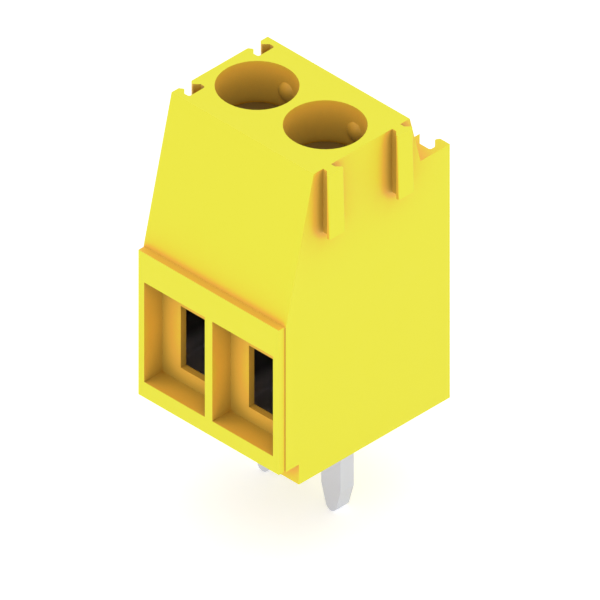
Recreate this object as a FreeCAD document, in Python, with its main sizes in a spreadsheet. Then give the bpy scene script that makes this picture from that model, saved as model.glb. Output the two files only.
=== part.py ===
import FreeCAD, Part
import math
import os
import Sketcher

# Two-pole screw terminal for a circuit board, in millimetres.
# The origin lies on the seating plane of the housing, between the poles, on the row of solder pins.
# X runs along the row of poles, the wires enter from the -Y side, and Z points up.
# Each pole holds a slotted screw, a folded clamping yoke and a folded contact bar with its solder pin.
# Turning the screw lifts the yoke, which presses the wire against the underside of the contact bar.

DRIVING = {
    # housing, seen from the side
    "pitch": 3.5,
    "end_wall": 0.15,
    "body_height": 13.43,
    "pins_to_face": 4.87,
    "lip_proud": 0.313,
    "lip_inset": 0.045,
    "lip_top": 7.32,
    "overhang_height": 0.894,
    "base_setback": 0.676,
    "front_slope_run": 1.436,
    "top_depth": 4.939,
    "back_slope_run": 0.549,
    "ledge_height": 11.27,
    "ledge_depth": 1.505,
    # wire funnel and the square entry behind it
    "funnel_width": 3.115,
    "funnel_floor": 1.585,
    "funnel_height": 4.43,
    "funnel_depth": 0.94,
    "entry_width": 1.235,
    "entry_floor": 2.22,
    "entry_height": 2.745,
    "entry_wall": 0.275,
    # screw shaft, with the nib that keeps the screw in
    "screw_to_face": 4.24,
    "shaft_diameter": 3.09,
    "nib_radius": 0.57,
    "nib_sink": 0.35,
    "nib_drop": 1.13,
    # keys on one side and their slots on the other, which join terminals in a row
    "key_to_face": 2.435,
    "key_spacing": 3.553,
    "key_length": 2.81,
    "key_proud": 0.46,
    "key_foot_proud": 0.54,
    "key_neck": 0.41,
    "key_neck_length": 0.2,
    "key_head": 0.8,
    "key_rounding": 0.05,
    "slot_length": 2.92,
    "slot_bottom_room": 0.1,
    "slot_mouth": 0.65,
    "slot_shoulder": 0.145,
    "slot_neck_end": 0.2,
    "slot_rounding": 0.06,
    "slot_room_rounding": 0.1,
    # recess in the back edge of each pole, for a marker tag
    "recess_length": 2.9,
    "recess_depth": 0.748,
    "recess_mouth": 2.8,
    "recess_neck": 2.6,
    "recess_shoulder": 0.17,
    "recess_room": 3.268,
    "recess_rounding": 0.1,
    "rib_gap": 1.324,
    "rib_height": 0.44,
    # contact bar and solder pin, folded from one strip
    "strip_width": 2.02,
    "strip_thickness": 0.683,
    "strip_bend": 0.25,
    "contact_rise": 0.09,
    "contact_nose": 0.35,
    "leg_offset": 1.22,
    "foot_height": 0.4,
    "pin_shoulder": 0.05,
    "pin_width": 0.996,
    "pin_length": 3.87,
    "pin_taper_start": 2.83,
    "pin_taper_end": 3.66,
    "pin_taper_inset": 0.236,
    "pin_tip_radius": 0.268,
    # clamping yoke, folded from one strip with its ends lapped on top
    "yoke_sheet": 0.4,
    "yoke_length": 2.8,
    "yoke_floor_drop": 0.05,
    "yoke_bend": 0.12,
    "lap_gap": 0.15,
    "lap_step": 0.15,
    "lap_slit": 0.08,
    "tray_wall": 2.7,
    "tray_gap": 0.08,
    "yoke_travel": 2.4,
    # screw
    "thread_diameter": 2.0,
    "tip_chamfer": 0.25,
    "head_diameter": 2.8,
    "head_height": 1.35,
    "head_drop": 1.78,
    "head_chamfer": 0.1,
    "drive_width": 0.4,
    "drive_depth": 0.6,
    "left_screw_angle": 20,
    "right_screw_angle": 75,
    # clearances
    "slide_clearance": 0.05,
    "guide_clearance": 0.05,
    "thread_clearance": 0.03,
    "seat_clearance": 0.03,
    "key_clearance": 0.02,
    "tip_clearance": 0.01,
    "lift_room": 0.3,
}

DERIVED = {
    # stations along X
    "pole_left": "-pitch / 2",
    "pole_right": "pitch / 2",
    "half_width": "pitch + end_wall",
    "width": "2 * half_width",
    "lip_half": "half_width - lip_inset",
    "funnel_half": "funnel_width / 2",
    "entry_half": "entry_width / 2",
    "strip_half": "strip_width / 2",
    "pin_half": "pin_width / 2",
    "tip_half": "pin_half - pin_taper_inset",
    "yoke_inner": "strip_half + guide_clearance",
    "yoke_outer": "yoke_inner + yoke_sheet",
    "chamber_half": "yoke_outer + slide_clearance",
    "leg_slot_half": "strip_half + seat_clearance",
    "lap_top_end": "yoke_outer - lap_step",
    "lap_low_end": "yoke_inner - lap_slit",
    # stations along Y
    "face_y": "-pins_to_face",
    "wall_y": "face_y + lip_proud",
    "base_y": "wall_y + base_setback",
    "top_front_y": "wall_y + front_slope_run",
    "top_back_y": "top_front_y + top_depth",
    "ledge_y": "top_back_y + back_slope_run",
    "back_y": "ledge_y + ledge_depth",
    "flange_y": "face_y + funnel_depth",
    "entry_cut": "entry_wall + slide_clearance",
    "chamber_front_y": "flange_y + entry_wall",
    "screw_y": "screw_to_face - pins_to_face",
    "nib_y": "screw_y + shaft_diameter / 2 + nib_sink",
    "yoke_front_y": "screw_y - yoke_length / 2",
    "yoke_back_y": "screw_y + yoke_length / 2",
    "tray_front_y": "chamber_front_y + tray_gap",
    "tray_length": "yoke_front_y - tray_front_y",
    "cage_room_front_y": "yoke_front_y - slide_clearance",
    "chamber_back_y": "yoke_back_y + slide_clearance",
    "pin_front_y": "-strip_thickness / 2",
    "pin_back_y": "strip_thickness / 2",
    "leg_front_y": "leg_offset - strip_thickness / 2",
    "leg_back_y": "leg_offset + strip_thickness / 2",
    "leg_slot_back_y": "leg_back_y + seat_clearance",
    "contact_front_y": "yoke_front_y - contact_nose",
    "key_y": "key_to_face - pins_to_face",
    "recess_floor_y": "back_y - recess_depth",
    # heights
    "funnel_top": "funnel_floor + funnel_height",
    "entry_top": "entry_floor + entry_height",
    "contact_bottom": "entry_top + contact_rise",
    "contact_top": "contact_bottom + strip_thickness",
    "leg_slot_top": "contact_top + seat_clearance",
    "foot_top": "foot_height + strip_thickness",
    "pin_root": "pin_shoulder + strip_bend",
    "yoke_floor": "entry_floor - yoke_floor_drop",
    "yoke_bottom": "yoke_floor - yoke_sheet",
    "tray_top": "yoke_floor + tray_wall",
    "lap_bottom": "contact_top + lap_gap",
    "lap_middle": "lap_bottom + yoke_sheet",
    "yoke_top": "lap_middle + yoke_sheet",
    "lap_cut": "2 * yoke_sheet + seat_clearance",
    "tray_room_top": "tray_top + yoke_travel + lift_room",
    "chamber_top": "yoke_top + yoke_travel + lift_room",
    "shaft_depth": "body_height - chamber_top",
    "head_top": "body_height - head_drop",
    "head_bottom": "head_top - head_height",
    "screw_tip": "contact_top + tip_clearance",
    "tip_flat": "screw_tip + tip_chamfer",
    "head_rim": "head_top - head_chamfer",
    "nib_level": "body_height - nib_drop",
    # radii and small parts of the profiles
    "shaft_radius": "shaft_diameter / 2",
    "thread_radius": "thread_diameter / 2",
    "tip_radius": "thread_radius - tip_chamfer",
    "tapped_radius": "thread_radius + thread_clearance",
    "head_radius": "head_diameter / 2",
    "head_flat": "head_radius - head_chamfer",
    "drive_half": "drive_width / 2",
    "outer_bend": "strip_bend + strip_thickness",
    "yoke_outer_bend": "yoke_bend + yoke_sheet",
    "key_neck_half": "key_neck / 2",
    "key_head_half": "key_head / 2",
    "key_flare_x": "key_neck_length + key_head_half - key_neck_half",
    "slot_mouth_half": "slot_mouth / 2",
    "slot_neck_half": "key_neck_half + key_clearance",
    "slot_room_half": "key_head_half + key_clearance",
    "slot_flare_x": "slot_neck_end + slot_room_half - slot_neck_half",
    "slot_depth": "key_foot_proud + slot_bottom_room",
    "recess_mouth_half": "recess_mouth / 2",
    "recess_neck_half": "recess_neck / 2",
    "recess_room_half": "recess_room / 2",
    "recess_neck_y": "back_y - recess_shoulder",
    "recess_flare_y": "recess_neck_y - recess_room_half + recess_neck_half",
    "rib_inner": "rib_gap / 2",
    "rib_outer": "rib_inner + rib_height",
    "rib_tip_y": "recess_floor_y + rib_height",
}

# how near an edge has to be to the place that it is looked for, in mm
NEAR = 0.01

doc = FreeCAD.newDocument("screw_terminal")
sheet = doc.addObject("Spreadsheet::Sheet", "sizes")


def fill_sheet():
    """One row for each size: its name in column A, its value or formula in column B."""
    row = 0
    for name, amount in DRIVING.items():
        row += 1
        sheet.set(f"A{row}", name)
        sheet.set(f"B{row}", str(amount))
        sheet.setAlias(f"B{row}", name)
    for name, rule in DERIVED.items():
        row += 1
        sheet.set(f"A{row}", name)
        sheet.set(f"B{row}", "=" + rule)
        sheet.setAlias(f"B{row}", name)
    doc.recompute()


def amount_of(name):
    """Value of a size now. A minus sign before the name turns it over."""
    if name.startswith("-"):
        return -getattr(sheet, name[1:])
    return getattr(sheet, name)


def formula_for(name):
    """The same size as a formula that reads the sheet."""
    if name.startswith("-"):
        return "-sizes." + name[1:]
    return "sizes." + name


def new_body(label, left="", back=""):
    """A named piece that stands at left along X and back along Y."""
    body = doc.addObject("PartDesign::Body", label)
    body.Label = label
    if left:
        body.setExpression(".Placement.Base.x", formula_for(left))
    if back:
        body.setExpression(".Placement.Base.y", formula_for(back))
    return body


def origin_of(body, role):
    """A plane or axis of the body's own origin."""
    return next(item for item in body.Origin.OriginFeatures if item.Role == role)


def new_sketch(body, name, role, across="", up="", out=""):
    """Sketch on an origin plane, moved in that plane by across and up and along its normal by out."""
    sketch = body.newObject("Sketcher::SketchObject", name)
    sketch.AttachmentSupport = [(origin_of(body, role), "")]
    sketch.MapMode = "FlatFace"
    for direction, size in (("x", across), ("y", up), ("z", out)):
        if size:
            sketch.setExpression(f".AttachmentOffset.Base.{direction}", formula_for(size))
    return sketch


def place_point(sketch, edge, end, across, up):
    """Tie one end of a sketch edge to the sizes across and up; an empty name is the axis itself."""
    for kind, size, axis in (("DistanceX", across, -2), ("DistanceY", up, -1)):
        if size:
            rule = Sketcher.Constraint(kind, -1, 1, edge, end, amount_of(size))
            index = sketch.addConstraint(rule)
            sketch.setExpression(f"Constraints[{index}]", formula_for(size))
        else:
            sketch.addConstraint(Sketcher.Constraint("PointOnObject", edge, end, axis))


def spot(across, up):
    """Point in a sketch at two sizes."""
    return FreeCAD.Vector(amount_of(across) if across else 0, amount_of(up) if up else 0, 0)


def draw_outline(sketch, corners, arc_after=None, radius="", bulge=None):
    """Closed outline through the corners. The edge that follows corner arc_after is an arc."""
    first = sketch.GeometryCount
    count = len(corners)
    for index in range(count):
        start = spot(*corners[index])
        end = spot(*corners[(index + 1) % count])
        if index == arc_after:
            sketch.addGeometry(Part.Arc(start, bulge, end), False)
        else:
            sketch.addGeometry(Part.LineSegment(start, end), False)
    for index in range(count):
        if index == arc_after:
            continue
        following = (index + 1) % count
        place_point(sketch, first + index, 1, *corners[index])
        if following == arc_after:
            place_point(sketch, first + index, 2, *corners[following])
        else:
            join = Sketcher.Constraint("Coincident", first + index, 2, first + following, 1)
            sketch.addConstraint(join)
    if arc_after is not None:
        bend_between(sketch, first, count, arc_after, radius)


def bend_between(sketch, first, count, index, radius):
    """Join an arc to the edges on its two sides and tie its radius to a size."""
    arc = first + index
    before = first + (index - 1) % count
    after = first + (index + 1) % count
    ends = ((before, 2), (after, 1))
    for edge, side in ends:
        corner = sketch.getPoint(edge, side)
        nearest = min((1, 2), key=lambda end: sketch.getPoint(arc, end).distanceToPoint(corner))
        sketch.addConstraint(Sketcher.Constraint("Coincident", edge, side, arc, nearest))
    rule = sketch.addConstraint(Sketcher.Constraint("Radius", arc, amount_of(radius)))
    sketch.setExpression(f"Constraints[{rule}]", formula_for(radius))


def draw_box(sketch, left, right, low, high):
    """Rectangle between four sizes."""
    draw_outline(sketch, [(left, low), (right, low), (right, high), (left, high)])


def draw_circle(sketch, radius):
    """Circle about the sketch's origin."""
    ring = Part.Circle(FreeCAD.Vector(0, 0, 0), FreeCAD.Vector(0, 0, 1), amount_of(radius))
    edge = sketch.addGeometry(ring, False)
    sketch.addConstraint(Sketcher.Constraint("Coincident", edge, 3, -1, 1))
    rule = sketch.addConstraint(Sketcher.Constraint("Radius", edge, amount_of(radius)))
    sketch.setExpression(f"Constraints[{rule}]", formula_for(radius))


def extrude(body, kind, name, sketch, length, backwards=False, both_ways=False):
    """Pad or pocket of a sketch, which has to add or take material."""
    doc.recompute()
    before = body.Shape.Volume if body.Tip else 0.0
    feature = body.newObject("PartDesign::" + kind, name)
    feature.Profile = sketch
    feature.setExpression("Length", formula_for(length))
    feature.Reversed = backwards
    feature.SideType = "Symmetric" if both_ways else "One side"
    doc.recompute()
    gain = body.Shape.Volume - before
    if (kind == "Pad") != (gain > 0):
        raise ValueError(f"{name} changes the volume the wrong way")
    return feature


def turn(body, name, sketch):
    """Sketch turned once round its own upright axis."""
    feature = body.newObject("PartDesign::Revolution", name)
    feature.Profile = sketch
    feature.ReferenceAxis = (sketch, ["V_Axis"])
    feature.Angle = 360
    doc.recompute()
    return feature


def repeat(body, name, features, role, spacing):
    """A second copy of some features, one spacing along an origin axis."""
    pattern = body.newObject("PartDesign::LinearPattern", name)
    pattern.Originals = features
    pattern.Direction = (origin_of(body, role), [""])
    pattern.setExpression("Length", formula_for(spacing))
    pattern.Occurrences = 2
    body.Tip = pattern
    doc.recompute()
    return pattern


def lies_at(edge, place):
    """Whether an edge's middle lies at a place, or the edge stands upright over a place of two numbers."""
    middle = edge.CenterOfMass
    if len(place) == 3:
        return middle.distanceToPoint(FreeCAD.Vector(*place)) < NEAR
    box = edge.BoundBox
    is_upright = max(box.XLength, box.YLength) < NEAR
    return is_upright and math.hypot(middle.x - place[0], middle.y - place[1]) < NEAR


def edges_at(shape, places):
    """Names of the edges at the given places."""
    found = []
    for place in places:
        names = [f"Edge{index}" for index, edge in enumerate(shape.Edges, start=1) if lies_at(edge, place)]
        if not names:
            raise ValueError(f"no edge at {place}")
        found += names
    return found


def round_edges(body, name, places, radius):
    """Fillet on the edges at the given places."""
    doc.recompute()
    base = body.Tip
    names = edges_at(base.Shape, places)
    feature = body.newObject("PartDesign::Fillet", name)
    feature.Base = (base, names)
    feature.setExpression("Radius", formula_for(radius))
    body.Tip = feature
    doc.recompute()
    return feature


def housing_shell(body):
    """The moulded block: stepped base, sloping front, flat top, and a ledge behind."""
    side = new_sketch(body, "side_view", "YZ_Plane")
    draw_outline(side, [
        ("base_y", ""),
        ("base_y", "overhang_height"),
        ("wall_y", "overhang_height"),
        ("wall_y", "lip_top"),
        ("top_front_y", "body_height"),
        ("top_back_y", "body_height"),
        ("ledge_y", "ledge_height"),
        ("back_y", "ledge_height"),
        ("back_y", ""),
    ])
    extrude(body, "Pad", "block", side, "width", both_ways=True)
    frame = new_sketch(body, "lip_view", "XZ_Plane", out="-wall_y")
    draw_box(frame, "-lip_half", "lip_half", "overhang_height", "lip_top")
    extrude(body, "Pad", "lip", frame, "lip_proud")


def housing_pole(body):
    """Everything that one pole needs in the housing, cut at the left pole and repeated at the right."""
    funnel = new_sketch(body, "funnel_view", "XZ_Plane", across="pole_left", out="-face_y")
    draw_box(funnel, "-funnel_half", "funnel_half", "funnel_floor", "funnel_top")
    funnel_cut = extrude(body, "Pocket", "funnel", funnel, "funnel_depth")

    entry = new_sketch(body, "entry_view", "XZ_Plane", across="pole_left", out="-flange_y")
    draw_box(entry, "-entry_half", "entry_half", "entry_floor", "entry_top")
    entry_cut = extrude(body, "Pocket", "wire_entry", entry, "entry_cut")

    tray = new_sketch(body, "tray_room_view", "XY_Plane", across="pole_left")
    draw_box(tray, "-chamber_half", "chamber_half", "chamber_front_y", "chamber_back_y")
    tray_cut = extrude(body, "Pocket", "tray_room", tray, "tray_room_top", backwards=True)

    cage = new_sketch(body, "cage_room_view", "XY_Plane", across="pole_left")
    draw_box(cage, "-chamber_half", "chamber_half", "cage_room_front_y", "chamber_back_y")
    cage_cut = extrude(body, "Pocket", "cage_room", cage, "chamber_top", backwards=True)

    leg = new_sketch(body, "leg_slot_view", "XY_Plane", across="pole_left")
    draw_box(leg, "-leg_slot_half", "leg_slot_half", "yoke_back_y", "leg_slot_back_y")
    leg_cut = extrude(body, "Pocket", "leg_slot", leg, "leg_slot_top", backwards=True)

    shaft = new_sketch(body, "shaft_view", "XY_Plane", "pole_left", "screw_y", "body_height")
    draw_circle(shaft, "shaft_radius")
    shaft_cut = extrude(body, "Pocket", "screw_shaft", shaft, "shaft_depth")

    recess_cut = housing_recess(body)
    nib = housing_nib(body)
    repeat(body, "right_pole",
           [funnel_cut, entry_cut, tray_cut, cage_cut, leg_cut, shaft_cut, recess_cut, nib],
           "X_Axis", "pitch")


def housing_recess(body):
    """Undercut recess in the back edge, with two small ribs on its floor."""
    view = new_sketch(body, "recess_view", "XY_Plane", across="pole_left", out="ledge_height")
    right_side = [
        ("rib_inner", "recess_floor_y"),
        ("rib_inner", "rib_tip_y"),
        ("rib_outer", "recess_floor_y"),
        ("recess_room_half", "recess_floor_y"),
        ("recess_room_half", "recess_flare_y"),
        ("recess_neck_half", "recess_neck_y"),
        ("recess_mouth_half", "back_y"),
    ]
    left_side = [("-" + across, up) for across, up in reversed(right_side)]
    draw_outline(view, right_side + left_side)
    return extrude(body, "Pocket", "tag_recess", view, "recess_length")


def housing_nib(body):
    """Low round nib on the back wall of the shaft, part of a ball, which keeps the screw in."""
    view = new_sketch(body, "nib_view", "YZ_Plane", "nib_y", "nib_level", "pole_left")
    centre = FreeCAD.Vector(0, 0, 0)
    ring = Part.Circle(centre, FreeCAD.Vector(0, 0, 1), sheet.nib_radius)
    arc = view.addGeometry(Part.ArcOfCircle(ring, math.pi / 2, 3 * math.pi / 2), False)
    low = FreeCAD.Vector(0, -sheet.nib_radius, 0)
    high = FreeCAD.Vector(0, sheet.nib_radius, 0)
    line = view.addGeometry(Part.LineSegment(low, high), False)
    view.addConstraint(Sketcher.Constraint("Coincident", arc, 3, -1, 1))
    view.addConstraint(Sketcher.Constraint("PointOnObject", line, 1, -2))
    view.addConstraint(Sketcher.Constraint("PointOnObject", line, 2, -2))
    view.addConstraint(Sketcher.Constraint("Coincident", arc, 2, line, 1))
    view.addConstraint(Sketcher.Constraint("Coincident", arc, 1, line, 2))
    rule = view.addConstraint(Sketcher.Constraint("Radius", arc, sheet.nib_radius))
    view.setExpression(f"Constraints[{rule}]", "sizes.nib_radius")
    return turn(body, "nib", view)


def housing_keys(body):
    """Keys on the right side and their slots on the left, two of each."""
    side = new_sketch(body, "key_side_view", "XZ_Plane", "half_width", "body_height", "-key_y")
    draw_outline(side, [
        ("", ""),
        ("", "-key_length"),
        ("key_foot_proud", "-key_length"),
        ("key_proud", ""),
    ])
    key_pad = extrude(body, "Pad", "key", side, "key_head", both_ways=True)
    undercut = new_sketch(body, "key_undercut_view", "XY_Plane", "half_width", "key_y", "body_height")
    for sign in ("-", ""):
        draw_outline(undercut, [
            ("", sign + "key_neck_half"),
            ("key_neck_length", sign + "key_neck_half"),
            ("key_flare_x", sign + "key_head_half"),
            ("", sign + "key_head_half"),
        ])
    key_cut = extrude(body, "Pocket", "key_undercut", undercut, "key_length")
    slot = new_sketch(body, "slot_view", "XY_Plane", "-half_width", "key_y", "body_height")
    draw_outline(slot, [
        ("", "-slot_mouth_half"),
        ("slot_shoulder", "-slot_neck_half"),
        ("slot_neck_end", "-slot_neck_half"),
        ("slot_flare_x", "-slot_room_half"),
        ("slot_depth", "-slot_room_half"),
        ("slot_depth", "slot_room_half"),
        ("slot_flare_x", "slot_room_half"),
        ("slot_neck_end", "slot_neck_half"),
        ("slot_shoulder", "slot_neck_half"),
        ("", "slot_mouth_half"),
    ])
    slot_cut = extrude(body, "Pocket", "key_slot", slot, "slot_length")
    repeat(body, "second_keys", [key_pad, key_cut, slot_cut], "Y_Axis", "key_spacing")


def round_keys(body):
    """Softened upright corners of the keys and of their slots."""
    sides = [(row, side) for row in (sheet.key_y, sheet.key_y + sheet.key_spacing) for side in (-1, 1)]
    key_x = sheet.half_width + (sheet.key_proud + sheet.key_foot_proud) / 2
    key_z = sheet.body_height - sheet.key_length / 2
    heads = [(key_x, row + side * sheet.key_head_half, key_z) for row, side in sides]
    round_edges(body, "key_corners", heads, "key_rounding")
    lip_corners = (
        (0, sheet.slot_mouth_half),
        (sheet.slot_shoulder, sheet.slot_neck_half),
        (sheet.slot_neck_end, sheet.slot_neck_half),
    )
    lips = [
        (depth - sheet.half_width, row + side * half)
        for depth, half in lip_corners
        for row, side in sides
    ]
    round_edges(body, "slot_lips", lips, "slot_rounding")
    room_x = sheet.slot_depth - sheet.half_width
    rooms = [(room_x, row + side * sheet.slot_room_half) for row, side in sides]
    round_edges(body, "slot_rooms", rooms, "slot_room_rounding")


def round_recesses(body):
    """Softened upright corners of the two tag recesses."""
    corners = (
        (sheet.recess_mouth_half, sheet.back_y),
        (sheet.recess_neck_half, sheet.recess_neck_y),
        (sheet.recess_room_half, sheet.recess_flare_y),
        (sheet.recess_room_half, sheet.recess_floor_y),
    )
    places = [
        (pole + side * half, y)
        for half, y in corners
        for pole in (sheet.pole_left, sheet.pole_right)
        for side in (-1, 1)
    ]
    round_edges(body, "recess_corners", places, "recess_rounding")


def make_housing():
    """The one moulded housing of both poles."""
    body = new_body("housing")
    housing_shell(body)
    housing_pole(body)
    housing_keys(body)
    round_keys(body)
    round_recesses(body)
    return body


def make_contact_bar(label, pole):
    """Contact bar: clamping plate, rear leg, foot and solder pin, folded from one strip."""
    body = new_body(label, left=pole)
    side = new_sketch(body, "fold_view", "YZ_Plane")
    draw_outline(side, [
        ("contact_front_y", "contact_top"),
        ("leg_back_y", "contact_top"),
        ("leg_back_y", "foot_height"),
        ("pin_back_y", "foot_height"),
        ("pin_back_y", "pin_shoulder"),
        ("pin_front_y", "pin_shoulder"),
        ("pin_front_y", "foot_top"),
        ("leg_front_y", "foot_top"),
        ("leg_front_y", "contact_bottom"),
        ("contact_front_y", "contact_bottom"),
    ])
    extrude(body, "Pad", "folded_strip", side, "strip_width", both_ways=True)
    front = new_sketch(body, "pin_view", "XZ_Plane")
    corners = [
        ("-pin_half", "pin_root"),
        ("-pin_half", "-pin_taper_start"),
        ("-tip_half", "-pin_taper_end"),
        ("tip_half", "-pin_taper_end"),
        ("pin_half", "-pin_taper_start"),
        ("pin_half", "pin_root"),
    ]
    draw_outline(front, corners, arc_after=2, radius="pin_tip_radius", bulge=spot("", "-pin_length"))
    extrude(body, "Pad", "solder_pin", front, "strip_thickness", both_ways=True)
    outer = [
        (0, sheet.leg_back_y, sheet.contact_top),
        (0, sheet.leg_back_y, sheet.foot_height),
        (0, sheet.pin_front_y, sheet.foot_top),
    ]
    inner = [
        (0, sheet.leg_front_y, sheet.contact_bottom),
        (0, sheet.leg_front_y, sheet.foot_top),
        (0, sheet.pin_back_y, sheet.foot_height),
    ]
    round_edges(body, "inner_bends", inner, "strip_bend")
    round_edges(body, "outer_bends", outer, "outer_bend")
    return body


def make_clamp_yoke(label, pole):
    """Clamping yoke: a cage round the contact bar with lapped, tapped ends, and a tray in front."""
    body = new_body(label, left=pole)
    cage = new_sketch(body, "cage_view", "XZ_Plane", out="-yoke_back_y")
    draw_outline(cage, [
        ("-yoke_outer", "yoke_bottom"),
        ("yoke_outer", "yoke_bottom"),
        ("yoke_outer", "yoke_top"),
        ("-lap_top_end", "yoke_top"),
        ("-lap_top_end", "lap_middle"),
        ("-yoke_outer", "lap_middle"),
    ])
    draw_outline(cage, [
        ("-yoke_inner", "yoke_floor"),
        ("yoke_inner", "yoke_floor"),
        ("yoke_inner", "lap_middle"),
        ("lap_low_end", "lap_middle"),
        ("lap_low_end", "lap_bottom"),
        ("-yoke_inner", "lap_bottom"),
    ])
    extrude(body, "Pad", "cage", cage, "yoke_length")
    tray = new_sketch(body, "tray_view", "XZ_Plane", out="-yoke_front_y")
    draw_outline(tray, [
        ("-yoke_outer", "yoke_bottom"),
        ("yoke_outer", "yoke_bottom"),
        ("yoke_outer", "tray_top"),
        ("yoke_inner", "tray_top"),
        ("yoke_inner", "yoke_floor"),
        ("-yoke_inner", "yoke_floor"),
        ("-yoke_inner", "tray_top"),
        ("-yoke_outer", "tray_top"),
    ])
    extrude(body, "Pad", "tray", tray, "tray_length")
    tapping = new_sketch(body, "tapping_view", "XY_Plane", up="screw_y", out="yoke_top")
    draw_circle(tapping, "tapped_radius")
    extrude(body, "Pocket", "tapped_hole", tapping, "lap_cut")
    long_middle = (sheet.tray_front_y + sheet.yoke_back_y) / 2
    outer = [
        (-sheet.yoke_outer, long_middle, sheet.yoke_bottom),
        (sheet.yoke_outer, long_middle, sheet.yoke_bottom),
        (sheet.yoke_outer, sheet.screw_y, sheet.yoke_top),
    ]
    inner = [
        (-sheet.yoke_inner, long_middle, sheet.yoke_floor),
        (sheet.yoke_inner, long_middle, sheet.yoke_floor),
        (-sheet.yoke_inner, sheet.screw_y, sheet.lap_bottom),
    ]
    lapped = [(-sheet.yoke_outer, sheet.screw_y, sheet.lap_middle)]
    round_edges(body, "inner_bends", inner, "yoke_bend")
    round_edges(body, "outer_bends", outer, "yoke_outer_bend")
    round_edges(body, "lapped_bend", lapped, "yoke_bend")
    return body


def make_clamp_screw(label, pole, angle):
    """Slotted cheese-head screw, turned to an angle, whose tip stands on the contact bar."""
    body = new_body(label, left=pole, back="screw_y")
    body.Placement.Rotation = FreeCAD.Rotation(FreeCAD.Vector(0, 0, 1), amount_of(angle))
    side = new_sketch(body, "turned_view", "XZ_Plane")
    draw_outline(side, [
        ("", "screw_tip"),
        ("tip_radius", "screw_tip"),
        ("thread_radius", "tip_flat"),
        ("thread_radius", "head_bottom"),
        ("head_radius", "head_bottom"),
        ("head_radius", "head_rim"),
        ("head_flat", "head_top"),
        ("", "head_top"),
    ])
    turn(body, "turned_shape", side)
    drive = new_sketch(body, "drive_view", "XY_Plane", out="head_top")
    draw_box(drive, "-head_radius", "head_radius", "-drive_half", "drive_half")
    extrude(body, "Pocket", "drive_slot", drive, "drive_depth")
    return body


def write_parts(bodies):
    """Stop on any failed object or faulty shape, then write one file for each piece."""
    doc.recompute()
    for item in doc.Objects:
        if "Invalid" in item.State or "Error" in item.State:
            raise ValueError(f"{item.Label} is {item.State}")
    for body in bodies:
        shape = body.Shape
        if shape.isNull() or not shape.isValid() or len(shape.Solids) != 1:
            raise ValueError(f"{body.Label} isn't one sound solid")
    os.makedirs("parts", exist_ok=True)
    for body in bodies:
        body.Shape.exportStep(f"parts/{body.Label}.step")
        print(body.Label, round(body.Shape.Volume, 3), body.Shape.BoundBox)


fill_sheet()
pieces = [make_housing()]
for number, side in ((1, "left"), (2, "right")):
    pole = "pole_" + side
    pieces.append(make_contact_bar(f"contact_bar_{number}", pole))
    pieces.append(make_clamp_yoke(f"clamp_yoke_{number}", pole))
    pieces.append(make_clamp_screw(f"clamp_screw_{number}", pole, side + "_screw_angle"))
write_parts(pieces)
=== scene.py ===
import math

import bpy
import numpy as np
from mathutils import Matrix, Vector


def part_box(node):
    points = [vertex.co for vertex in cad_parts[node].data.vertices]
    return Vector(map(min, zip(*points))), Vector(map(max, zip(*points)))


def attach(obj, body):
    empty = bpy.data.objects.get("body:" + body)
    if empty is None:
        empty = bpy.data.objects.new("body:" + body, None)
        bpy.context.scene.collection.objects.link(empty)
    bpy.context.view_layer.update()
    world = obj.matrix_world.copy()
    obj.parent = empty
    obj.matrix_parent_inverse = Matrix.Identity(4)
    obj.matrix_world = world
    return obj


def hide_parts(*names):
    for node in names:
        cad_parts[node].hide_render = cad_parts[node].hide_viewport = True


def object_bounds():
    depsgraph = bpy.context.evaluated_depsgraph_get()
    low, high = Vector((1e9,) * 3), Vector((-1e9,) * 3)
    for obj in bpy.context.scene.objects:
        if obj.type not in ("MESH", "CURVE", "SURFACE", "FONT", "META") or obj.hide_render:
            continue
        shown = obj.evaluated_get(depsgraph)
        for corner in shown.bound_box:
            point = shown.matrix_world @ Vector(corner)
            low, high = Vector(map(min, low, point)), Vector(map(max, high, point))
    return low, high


# The looks of a two-pole screw terminal for a circuit board: a yellow moulded housing on tinned solder pins,
# with a slotted screw and a steel clamping yoke in each pole.
# Sizes are in millimetres, and are turned to metres where Blender takes them.

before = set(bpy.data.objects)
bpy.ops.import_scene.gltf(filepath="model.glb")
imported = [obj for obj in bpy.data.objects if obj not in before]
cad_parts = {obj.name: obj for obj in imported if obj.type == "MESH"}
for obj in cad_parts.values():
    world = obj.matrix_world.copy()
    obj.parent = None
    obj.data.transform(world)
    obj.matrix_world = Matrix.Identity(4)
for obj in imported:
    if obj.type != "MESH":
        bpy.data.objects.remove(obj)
cad_low, cad_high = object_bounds()

MM = 0.001
POLES = (1, 2)

# view of the photograph: the way back to the camera, the point it looks at, the width it takes in, how far
# off it stands, and how near and far it sees
VIEW_BACK = np.array([1.0, -1.0, 1.0]) / math.sqrt(3)
VIEW_TARGET = np.array([0.0, -0.1745, 4.535])
VIEW_WIDTH = 21.786
VIEW_DISTANCE = 100.0
NEAR_CLIP = 1.0
FAR_CLIP = 1000.0

# screw: the turn of each slot, the thread, the tip, and the head, which rises a little above the one that it
# replaces
SCREW_ANGLES = {1: 20.0, 2: 75.0}
THREAD_RADIUS = 1.0
THREAD_LEAD = 0.4
THREAD_DEPTH = 0.21
FLANK_SLOPE = 2.6
FLANK_START = 0.15
RUNOUT_TURNS = 2
TIP_CHAMFER = 0.25
HEAD_HEIGHT = 1.35
HEAD_RISE = 0.08
SLOT_WIDTH = 0.4
SLOT_DEPTH = 0.6
EDGE_ROUNDING = 0.07

# fineness of the screw's mesh, and the angle up to which its faces look like one smooth surface
ROWS_A_TURN = 16
ARC_STEPS = 44
SLOT_END_STEPS = 4
CHORD_STEPS = 14
ROUNDING_STEPS = 4
SMOOTH_ANGLE = 32.0

# floor: its width, and how much brighter it is seen than it lights the object
FLOOR_WIDTH = 6000.0
FLOOR_LIFT = 0.3

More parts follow.
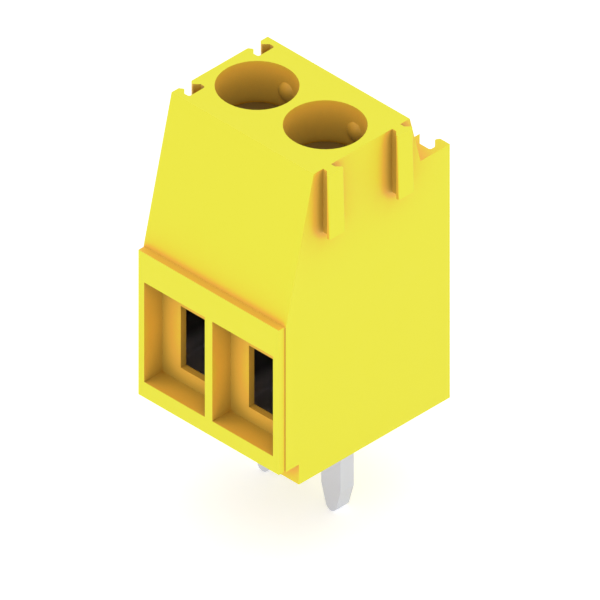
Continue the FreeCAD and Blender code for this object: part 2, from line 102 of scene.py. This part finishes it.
# grain: its scale to the metre, the share of that scale in the broad mask, the detail of both, and the
# strength and height of the bump
PLASTIC_GRAIN = 9000.0
METAL_GRAIN = 6000.0
BROAD_SHARE = 0.08
FINE_DETAIL = 4.0
BROAD_DETAIL = 2.0
PLASTIC_BUMP = (0.08, 0.004)
METAL_BUMP = (0.1, 0.003)

# metals: linear colour, how much the grain lightens and darkens it, and roughness with its spread
TIN = (0.69, 0.7, 0.75)
YOKE_STEEL = (0.5, 0.48, 0.49)
SCREW_STEEL = (0.39, 0.355, 0.27)
METAL_SHADES = (0.94, 1.06)
TIN_ROUGHNESS = 0.65
YOKE_ROUGHNESS = 0.4
SCREW_ROUGHNESS = 0.35
ROUGHNESS_SPREAD = 0.05

# painted light and shade on the yoke's steel, darker upwards: from one height to the other, and the strengths
# there
YOKE_PAINTED_SHADE = ((2.5, 3.3), (1.3, 0.38))

# plastic: its roughness and specular level, how its openness is measured, and its linear colour against that,
# from a deep hole to a clear face: painted shade, orange to brown, in the recesses, and its own yellow on a
# clear face
PLASTIC_ROUGHNESS = (0.46, 0.56)
PLASTIC_SPECULAR = 0.3
OPENNESS_SAMPLES = 16
RECESS_REACH = 2.4
YELLOW_AND_RECESS_PAINTED_SHADE = (
    (0.2, (0.58, 0.3, 0.02)),
    (0.33, (0.54, 0.37, 0.06)),
    (0.45, (0.585, 0.378, 0.053)),
    (0.6, (0.78, 0.475, 0.062)),
    (0.72, (0.93, 0.525, 0.063)),
    (0.785, (0.94, 0.45, 0.052)),
    (0.85, (0.885, 0.73, 0.034)),
    (0.93, (0.863, 0.72, 0.035)),
    (1.0, (0.849, 0.806, 0.037)),
)

# painted shade on the nibs on the back walls of the shafts, darker than the painted recess shade alone makes
# them:
# how far their tops and the walls lie from a shaft's axis, and the strength of the painted shade on a top
SHAFT_AXES = {1: (-1.75, -0.63, 0.0), 2: (1.75, -0.63, 0.0)}
NIB_TOP = 1.33
SHAFT_WALL = 1.53
NIB_PAINTED_SHADE = 0.68


def mesh_piece(name, points, faces, body, material):
    """A piece from an array of points in millimetres and a list of faces, smooth where its faces nearly
    agree."""
    mesh = bpy.data.meshes.new(name)
    mesh.from_pydata(points * MM, [], faces)
    mesh.validate()
    mesh.polygons.foreach_set("use_smooth", np.ones(len(mesh.polygons), bool))
    mesh.set_sharp_from_angle(angle=math.radians(SMOOTH_ANGLE))
    mesh.materials.append(material)
    piece = bpy.data.objects.new(name, mesh)
    bpy.context.scene.collection.objects.link(piece)
    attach(piece, body)
    return piece


def wall_faces(below, above):
    """Quads between closed rings of point numbers and the rings above them, for one ring or many."""
    quads = np.stack([below, np.roll(below, -1, axis=-1), np.roll(above, -1, axis=-1), above], axis=-1)
    return quads.reshape(-1, 4).tolist()


def ring_angles(head_radius):
    """Angles round the head: the arc of each half of it between the slot's ends, then the slot's end."""
    corner = math.asin(SLOT_WIDTH / 2 / head_radius)
    arc = np.linspace(corner, math.pi - corner, ARC_STEPS + 1)[:-1]
    end = np.linspace(math.pi - corner, math.pi + corner, SLOT_END_STEPS + 1)[:-1]
    return np.concatenate([arc, end, arc + math.pi, end + math.pi])


def thread_rows(tip, under_head, angles):
    """The shank: radius = crest - depth * (1 - ridge), where ridge = slope * distance of the phase from its
    middle - start, held between 0 and 1, and phase = height / lead - angle / turn, without whole turns.
    The groove fades out under the head, and the chamfer cuts it off at the tip."""
    rows = int((under_head - tip) / THREAD_LEAD * ROWS_A_TURN)
    height = np.linspace(tip, under_head, rows)[:, None]
    phase = (height / THREAD_LEAD - angles[None, :] / (2 * math.pi)) % 1.0
    ridge = np.clip(np.abs(phase - 0.5) * FLANK_SLOPE - FLANK_START, 0.0, 1.0)
    runout = np.clip((under_head - height) / (RUNOUT_TURNS * THREAD_LEAD), 0.0, 1.0)
    chamfer = THREAD_RADIUS - TIP_CHAMFER + (height - tip)
    radius = np.minimum(THREAD_RADIUS - THREAD_DEPTH * (1 - ridge) * runout, chamfer)
    height = np.broadcast_to(height, radius.shape)
    return np.stack([radius * np.cos(angles), radius * np.sin(angles), height], axis=-1)


def head_rows(under_head, slot_floor, radius, angles):
    """The head up to the floor of its slot: three level rings, the lowest drawn in by the rounding."""
    reach = np.array([radius - EDGE_ROUNDING, radius, radius])[:, None]
    height = np.array([under_head, under_head + EDGE_ROUNDING, slot_floor])[:, None]
    height = np.broadcast_to(height, (len(reach), len(angles)))
    return np.stack([reach * np.cos(angles), reach * np.sin(angles), height], axis=-1)


def half_head_outline(radius, inset, height):
    """Outline of one half of the slotted head: an arc, x and y = (radius - inset) * cos and sin of the angle,
    and its chord, which lies half a slot's width + inset from the middle."""
    chord = SLOT_WIDTH / 2 + inset
    reach = radius - inset
    corner = math.asin(chord / reach)
    arc = np.linspace(corner, math.pi - corner, ARC_STEPS + 1)
    along = np.linspace(-1, 1, CHORD_STEPS + 1)[1:-1] * reach * math.cos(corner)
    x = np.concatenate([reach * np.cos(arc), along])
    y = np.concatenate([reach * np.sin(arc), np.full(CHORD_STEPS - 1, chord)])
    return np.stack([x, y, np.full(len(x), height)], axis=-1)


def make_screw(number, material):
    """Slotted cheese-head screw: a ring of points carried up the threaded shank and the head, whose two
    halves stand as separate outlines on the floor of the slot and are rounded over at the top by
    inset = rounding * (1 - cos) and height = top - rounding * (1 - sin) of a quarter turn."""
    node = f"clamp_screw_{number}"
    low, high = (np.array(corner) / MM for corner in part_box(node))
    centre = (low + high) / 2
    radius = (high[1] - low[1]) / 2
    tip, under_head = low[2], high[2] - HEAD_HEIGHT
    top = high[2] + HEAD_RISE
    slot_floor = top - SLOT_DEPTH
    angles = ring_angles(radius)
    count = len(angles)

    shank = thread_rows(tip, under_head, angles)
    lathe = np.concatenate([shank, head_rows(under_head, slot_floor, radius, angles)])
    rings = np.arange(len(lathe) * count).reshape(-1, count)
    tip_middle = rings.size
    points = [lathe.reshape(-1, 3), np.array([[0.0, 0.0, tip]])]
    faces = wall_faces(rings[:-1], rings[1:])
    faces += np.stack([np.full(count, tip_middle), np.roll(rings[0], -1), rings[0]], axis=-1).tolist()

    next_point = tip_middle + 1
    slot_outline = []
    for side, sign in enumerate((1.0, -1.0)):
        half_turn = (sign, sign, 1.0)
        ring = np.roll(rings[-1], -side * (count // 2))
        chord = next_point + np.arange(CHORD_STEPS - 1)
        points.append(half_head_outline(radius, 0.0, slot_floor)[ARC_STEPS + 1:] * half_turn)
        next_point += len(chord)
        below = np.concatenate([ring[:ARC_STEPS + 1], chord])
        slot_outline += [ring[[ARC_STEPS]], chord, ring[-np.arange(SLOT_END_STEPS)]]
        for roll in np.linspace(0, math.pi / 2, ROUNDING_STEPS + 1):
            inset = EDGE_ROUNDING * (1 - math.cos(roll))
            height = top - EDGE_ROUNDING * (1 - math.sin(roll))
            points.append(half_head_outline(radius, inset, height) * half_turn)
            above = next_point + np.arange(len(below))
            next_point += len(above)
            faces += wall_faces(below, above)
            below = above
        faces.append(below.tolist())
    faces.append(np.concatenate(slot_outline)[::-1].tolist())

    turn = math.radians(SCREW_ANGLES[number])
    spin = np.array([[math.cos(turn), math.sin(turn), 0], [-math.sin(turn), math.cos(turn), 0], [0, 0, 1]])
    points = np.concatenate(points) @ spin + (centre[0], centre[1], 0)
    piece = mesh_piece(f"threaded_screw_{number}", points, faces, f"screw_{number}", material)
    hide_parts(node)


def make_camera():
    """Parallel view from 45 degrees to the right of the front and 35 degrees up."""
    lens = bpy.data.cameras.new("camera")
    lens.type = "ORTHO"
    lens.ortho_scale = VIEW_WIDTH * MM
    lens.clip_start = NEAR_CLIP * MM
    lens.clip_end = FAR_CLIP * MM
    camera = bpy.data.objects.new("camera", lens)
    bpy.context.scene.collection.objects.link(camera)
    camera.location = (VIEW_TARGET + VIEW_BACK * VIEW_DISTANCE) * MM
    level = math.atan2(VIEW_BACK[2], math.hypot(VIEW_BACK[0], VIEW_BACK[1]))
    turn = math.atan2(VIEW_BACK[0], -VIEW_BACK[1])
    camera.rotation_euler = (math.pi / 2 - level, 0.0, turn)
    bpy.context.scene.camera = camera


def opaque(colour):
    """A linear colour with an alpha of 1."""
    return (*colour, 1.0)


def fill_inputs(tree, node, inputs):
    """Sets each input of a node to its value, or links it where the value is another node's output."""
    for name, value in inputs.items():
        if isinstance(value, bpy.types.NodeSocket):
            tree.links.new(value, node.inputs[name])
        else:
            node.inputs[name].default_value = value


def add_node(tree, kind, inputs, **settings):
    """A shader node with its inputs and settings."""
    node = tree.nodes.new(kind)
    for name, value in settings.items():
        setattr(node, name, value)
    fill_inputs(tree, node, inputs)
    return node


def map_range(tree, value, given, wanted, interpolation="LINEAR"):
    """A value taken from one range to another and held inside it."""
    node = add_node(tree, "ShaderNodeMapRange", {
        "Value": value, "From Min": given[0], "From Max": given[1], "To Min": wanted[0], "To Max": wanted[1],
    }, interpolation_type=interpolation)
    return node.outputs["Result"]


def scaled(tree, colour, strength):
    """A colour times a strength that changes over the surface."""
    node = add_node(tree, "ShaderNodeVectorMath", {0: colour, "Scale": strength}, operation="SCALE")
    return node.outputs["Vector"]


def new_group(name, inputs, outputs):
    """An empty shader group. The inputs have a socket type and a default, the outputs only a type."""
    group = bpy.data.node_groups.new(name, "ShaderNodeTree")
    for label, (kind, value) in inputs.items():
        made = group.interface.new_socket(name=label, in_out="INPUT", socket_type="NodeSocket" + kind)
        if value is not None:
            made.default_value = value
    for label, kind in outputs.items():
        group.interface.new_socket(name=label, in_out="OUTPUT", socket_type="NodeSocket" + kind)
    return group, group.nodes.new("NodeGroupInput").outputs, group.nodes.new("NodeGroupOutput")


def recess_painted_shade_group():
    """Colour of the moulded plastic by how open it lies: its own yellow on clear faces, and painted shade,
    orange to brown, in recesses."""
    group, given, out = new_group("recess_painted_shade", {"Openness": ("Float", 1.0)}, {"Color": "Color"})
    ramp = add_node(group, "ShaderNodeValToRGB", {"Fac": given["Openness"]})
    stops = ramp.color_ramp.elements
    for place, _ in YELLOW_AND_RECESS_PAINTED_SHADE[1:-1]:
        stops.new(place)
    for stop, (place, colour) in zip(stops, YELLOW_AND_RECESS_PAINTED_SHADE):
        stop.position = place
        stop.color = opaque(colour)
    group.links.new(ramp.outputs["Color"], out.inputs["Color"])
    return group


def grain_group():
    """Fine uneven surface: a height for a bump, and a broader mask about one half for colour and gloss."""
    group, given, out = new_group(
        "fine_grain",
        {"Vector": ("Vector", None), "Scale": ("Float", METAL_GRAIN)},
        {"Height": "Float", "Mask": "Float"})
    place, scale = given["Vector"], given["Scale"]
    fine = add_node(group, "ShaderNodeTexNoise", {"Vector": place, "Scale": scale, "Detail": FINE_DETAIL})
    share = add_node(group, "ShaderNodeMath", {0: scale, 1: BROAD_SHARE}, operation="MULTIPLY").outputs[0]
    broad = add_node(group, "ShaderNodeTexNoise", {"Vector": place, "Scale": share, "Detail": BROAD_DETAIL})
    group.links.new(fine.outputs["Fac"], out.inputs["Height"])
    group.links.new(broad.outputs["Fac"], out.inputs["Mask"])
    return group


def new_material(name):
    """A material with only its output, ready for its nodes."""
    material = bpy.data.materials.new(name)
    material.use_nodes = True
    tree = material.node_tree
    tree.nodes.clear()
    return material, tree, tree.nodes.new("ShaderNodeOutputMaterial")


def use_group(tree, group, inputs):
    """A shader group placed in a material: its outputs."""
    node = tree.nodes.new("ShaderNodeGroup")
    node.node_tree = group
    fill_inputs(tree, node, inputs)
    return node.outputs


def bump(tree, height, strength_and_rise):
    """Normals of a grain that stands a little way out of the surface."""
    strength, rise = strength_and_rise
    node = add_node(tree, "ShaderNodeBump", {"Height": height, "Strength": strength, "Distance": rise * MM})
    return node.outputs["Normal"]


def finish_material(tree, output, inputs):
    """Principled surface with the given inputs, joined to the output."""
    surface = add_node(tree, "ShaderNodeBsdfPrincipled", inputs)
    tree.links.new(surface.outputs["BSDF"], output.inputs["Surface"])


def openness(tree):
    """How open a point lies, from 1 on a clear face to 0 in a deep hole, for the painted recess shade."""
    around = add_node(tree, "ShaderNodeAmbientOcclusion", {"Distance": RECESS_REACH * MM},
                      samples=OPENNESS_SAMPLES)
    return around.outputs["AO"]


def nib_painted_shade(tree, place):
    """Strength of the painted shade that darkens the nibs to the wall round them: the distance in plan from
    the nearer shaft's axis, turned to a factor between NIB_PAINTED_SHADE on a nib's top and 1 at the wall."""
    flat = add_node(tree, "ShaderNodeVectorMath", {0: place, 1: (1.0, 1.0, 0.0)}, operation="MULTIPLY")
    apart = []
    for number in POLES:
        ends = {0: flat.outputs["Vector"], 1: [length * MM for length in SHAFT_AXES[number]]}
        apart.append(add_node(tree, "ShaderNodeVectorMath", ends, operation="DISTANCE").outputs["Value"])
    nearest = add_node(tree, "ShaderNodeMath", {0: apart[0], 1: apart[1]}, operation="MINIMUM")
    return map_range(tree, nearest.outputs[0], (NIB_TOP * MM, SHAFT_WALL * MM), (NIB_PAINTED_SHADE, 1.0))


def yellow_plastic(recess_shade_ramp, grain):
    """Moulded yellow plastic, with painted shade, amber to brown, where its own walls shut it in, and painted
    shade on the nibs.
    """
    material, tree, output = new_material("yellow_moulding")
    place = tree.nodes.new("ShaderNodeTexCoord").outputs["Object"]
    rough = use_group(tree, grain, {"Vector": place, "Scale": PLASTIC_GRAIN})
    # painted shade: the plastic's yellow turns orange and brown as a point lies less open
    yellow_and_painted_shade = use_group(tree, recess_shade_ramp, {"Openness": openness(tree)})
    finish_material(tree, output, {
        # painted shade on the nibs: their tops darkened to the wall's colour
        "Base Color": scaled(tree, yellow_and_painted_shade["Color"], nib_painted_shade(tree, place)),
        "Roughness": map_range(tree, rough["Mask"], (0.0, 1.0), PLASTIC_ROUGHNESS),
        "Normal": bump(tree, rough["Height"], PLASTIC_BUMP),
        "Specular IOR Level": PLASTIC_SPECULAR})
    return material


def sheet_metal(name, colour, roughness, grain, painted_shade=None):
    """Metal with a fine rolled grain. Painted light and shade of two heights and two strengths darken it
    upwards.
    """
    material, tree, output = new_material(name)
    place = tree.nodes.new("ShaderNodeTexCoord").outputs["Object"]
    rough = use_group(tree, grain, {"Vector": place, "Scale": METAL_GRAIN})
    toned = scaled(tree, colour, map_range(tree, rough["Mask"], (0.0, 1.0), METAL_SHADES))
    if painted_shade:
        (low, high), strengths = painted_shade
        # painted shade: darker towards the top, with painted light lower down
        height = add_node(tree, "ShaderNodeSeparateXYZ", {"Vector": place}).outputs["Z"]
        toned = scaled(tree, toned, map_range(tree, height, (low * MM, high * MM), strengths, "SMOOTHSTEP"))
    spread = (roughness - ROUGHNESS_SPREAD, roughness + ROUGHNESS_SPREAD)
    finish_material(tree, output, {
        "Base Color": toned,
        "Roughness": map_range(tree, rough["Mask"], (0.0, 1.0), spread),
        "Normal": bump(tree, rough["Height"], METAL_BUMP),
        "Metallic": 1.0})
    return material


def dress(node, material):
    """Gives a CAD node its material, in each of its material slots."""
    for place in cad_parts[node].material_slots:
        place.material = material


def make_floor():
    """Plain pale floor under the pins, much wider than the view. Its extra light = lift * the largest of
    three masks: seen straight on, mirrored, or seen through something. So it is white around the object and
    keeps the soft shadow under it."""
    half = FLOOR_WIDTH / 2 * MM
    level = cad_low.z
    mesh = bpy.data.meshes.new("floor")
    corners = [(-half, -half, level), (half, -half, level), (half, half, level), (-half, half, level)]
    mesh.from_pydata(corners, [], [[0, 1, 2, 3]])
    floor = bpy.data.objects.new("floor", mesh)
    bpy.context.scene.collection.objects.link(floor)
    material, tree, output = new_material("pale_floor")
    paper = add_node(tree, "ShaderNodeBsdfDiffuse", {"Color": opaque((1.0, 1.0, 1.0))})
    ray = tree.nodes.new("ShaderNodeLightPath").outputs
    seen = ray["Is Camera Ray"]
    for kind in ("Is Glossy Ray", "Is Transmission Ray"):
        seen = add_node(tree, "ShaderNodeMath", {0: seen, 1: ray[kind]}, operation="MAXIMUM").outputs[0]
    lift = add_node(tree, "ShaderNodeMath", {0: seen, 1: FLOOR_LIFT}, operation="MULTIPLY")
    glow = add_node(tree, "ShaderNodeEmission", {"Strength": lift.outputs[0]})
    both = tree.nodes.new("ShaderNodeAddShader")
    tree.links.new(paper.outputs["BSDF"], both.inputs[0])
    tree.links.new(glow.outputs["Emission"], both.inputs[1])
    tree.links.new(both.outputs["Shader"], output.inputs["Surface"])
    mesh.materials.append(material)


def make_light():
    """Even white light from all sides."""
    world = bpy.data.worlds.new("studio")
    bpy.context.scene.world = world
    world.use_nodes = True
    sky = world.node_tree.nodes["Background"].inputs
    sky["Color"].default_value = opaque((1.0, 1.0, 1.0))
    sky["Strength"].default_value = 1.0


bpy.context.scene.view_settings.view_transform = "Standard"
make_camera()
make_light()
make_floor()

# the plastic's yellow, with painted shade in its recesses
recess_shade_ramp = recess_painted_shade_group()
grain = grain_group()
dress("housing", yellow_plastic(recess_shade_ramp, grain))
tin = sheet_metal("tinned_strip", TIN, TIN_ROUGHNESS, grain)
yoke_steel = sheet_metal("yoke_steel", YOKE_STEEL, YOKE_ROUGHNESS, grain, YOKE_PAINTED_SHADE)
screw_steel = sheet_metal("screw_steel", SCREW_STEEL, SCREW_ROUGHNESS, grain)
for number in POLES:
    dress(f"contact_bar_{number}", tin)
    dress(f"clamp_yoke_{number}", yoke_steel)
    make_screw(number, screw_steel)
